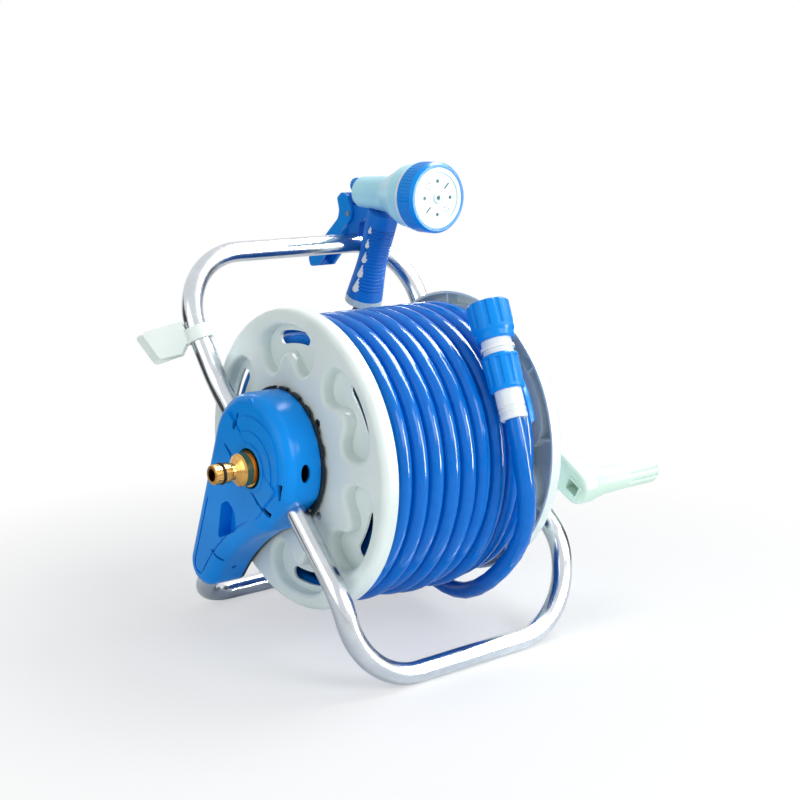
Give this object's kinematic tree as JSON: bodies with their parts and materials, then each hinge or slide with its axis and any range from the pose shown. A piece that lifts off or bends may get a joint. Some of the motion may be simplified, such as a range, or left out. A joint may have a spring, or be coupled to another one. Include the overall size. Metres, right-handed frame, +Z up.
{
  "type": "garden hose reel",
  "caption": "Free-standing garden hose reel on a bent tube frame, with a cranked drum of hose, a quick connector, a water inlet and a hanging spray gun.",
  "frame": {"origin": "on the floor, under the middle of the box round the reel without its hose", "axes": "+X along the drum axis towards the crank, +Y to the rear, +Z up"},
  "size_m": [0.4214, 0.3551, 0.404],
  "materials": {
    "galvanised_steel": "smooth galvanised tube",
    "blue_gloss": "gloss moulded",
    "dark_plastic": "matt moulded",
    "polished_brass": "turned and polished",
    "black_rubber": "moulded",
    "mint_white": "satin moulded",
    "mint_green": "satin moulded",
    "hose_blue": "smooth extruded",
    "white_gloss": "gloss moulded",
    "pale_blue": "gloss moulded",
    "grip_blue": "soft-touch moulded",
    "pale_grey": "gloss moulded",
    "grey_plastic": "moulded",
    "plated_steel": "zinc plated"
  },
  "bodies": {
    "frame": {"handle_tube": "galvanised_steel", "front_leg_tube": "galvanised_steel", "rear_leg_tube": "galvanised_steel", "left_cover": "blue_gloss", "left_back_plate": "dark_plastic", "right_cover": "blue_gloss", "right_back_plate": "dark_plastic", "left_cover_screws": "plated_steel", "right_cover_screws": "plated_steel", "tube_screws": "plated_steel", "inlet_nipple": "polished_brass", "inlet_o_ring": "black_rubber", "swivel_spindle": "grey_plastic", "spindle_seals": "black_rubber", "crank_bush": "grey_plastic"},
    "reel": {"left_flange": "mint_white", "right_flange": "mint_white", "drum_barrel": "mint_white", "drum_screws": "plated_steel", "water_elbow": "grey_plastic", "hose_clamp": "plated_steel", "hose_lead": "hose_blue", "hose_inner_layers": "hose_blue", "hose_outer_layer": "hose_blue", "hose_tail": "hose_blue", "hose_collar": "white_gloss", "connector_nut": "blue_gloss", "connector_body": "white_gloss", "connector_seal": "black_rubber", "crank_axle": "grey_plastic", "crank_arm": "mint_green", "crank_screw": "plated_steel", "grip_pin": "plated_steel"},
    "crank_grip": {"crank_grip": "mint_green"},
    "release_sleeve": {"release_sleeve": "blue_gloss"},
    "gun": {"gun_barrel": "pale_blue", "gun_trim_ring": "white_gloss", "gun_grip": "grip_blue", "gun_drop_inlays": "white_gloss", "gun_base_ring": "pale_grey", "gun_inlet_nipple": "dark_plastic", "gun_inlet_o_ring": "black_rubber", "trigger_pin": "plated_steel"},
    "dial": {"spray_dial": "blue_gloss", "spray_face": "mint_white"},
    "trigger": {"trigger": "blue_gloss"},
    "flow_knob": {"flow_knob": "blue_gloss"},
    "clip": {"accessory_clip": "mint_green"}
  },
  "joints": [
    {"name": "reel_spin", "type": "hinge", "parent": "frame", "child": "reel", "pos_m": [-0.0357, -0.04024, 0.1675], "axis": [1, 0, 0], "continuous": true},
    {"name": "crank_grip_spin", "type": "hinge", "parent": "reel", "child": "crank_grip", "pos_m": [0.1643, -0.12444, 0.1214], "axis": [1, 0, 0], "continuous": true},
    {"name": "release_sleeve_slide", "type": "slide", "parent": "reel", "child": "release_sleeve", "axis": [-0.0896, -0.4522, -0.8874], "range_m": [0, 0.004], "stiffness_N_per_m": 600, "springref_m": -0.003},
    {"name": "gun_lift", "type": "slide", "parent": "frame", "child": "gun", "axis": [0, -0.5, 0.866], "range_m": [0, 0.14]},
    {"name": "trigger_squeeze", "type": "hinge", "parent": "gun", "child": "trigger", "pos_m": [0.0373, 0.09906, 0.353], "axis": [-1, 0, 0], "range_deg": [0, 12], "stiffness_Nm_per_rad": 1.5, "springref_deg": -8.59},
    {"name": "dial_turn", "type": "hinge", "parent": "gun", "child": "dial", "pos_m": [0.0373, -0.01024, 0.373], "axis": [0, -1, 0], "continuous": true},
    {"name": "flow_knob_turn", "type": "hinge", "parent": "gun", "child": "flow_knob", "pos_m": [0.0373, 0.09576, 0.379], "axis": [0, 1, 0], "range_deg": [0, 270]},
    {"name": "clip_swivel", "type": "hinge", "parent": "frame", "child": "clip", "pos_m": [-0.15852, 0.06394, 0.26186], "axis": [-0.1279, 0.4435, 0.8871], "range_deg": [-40, 40]}
  ]
}
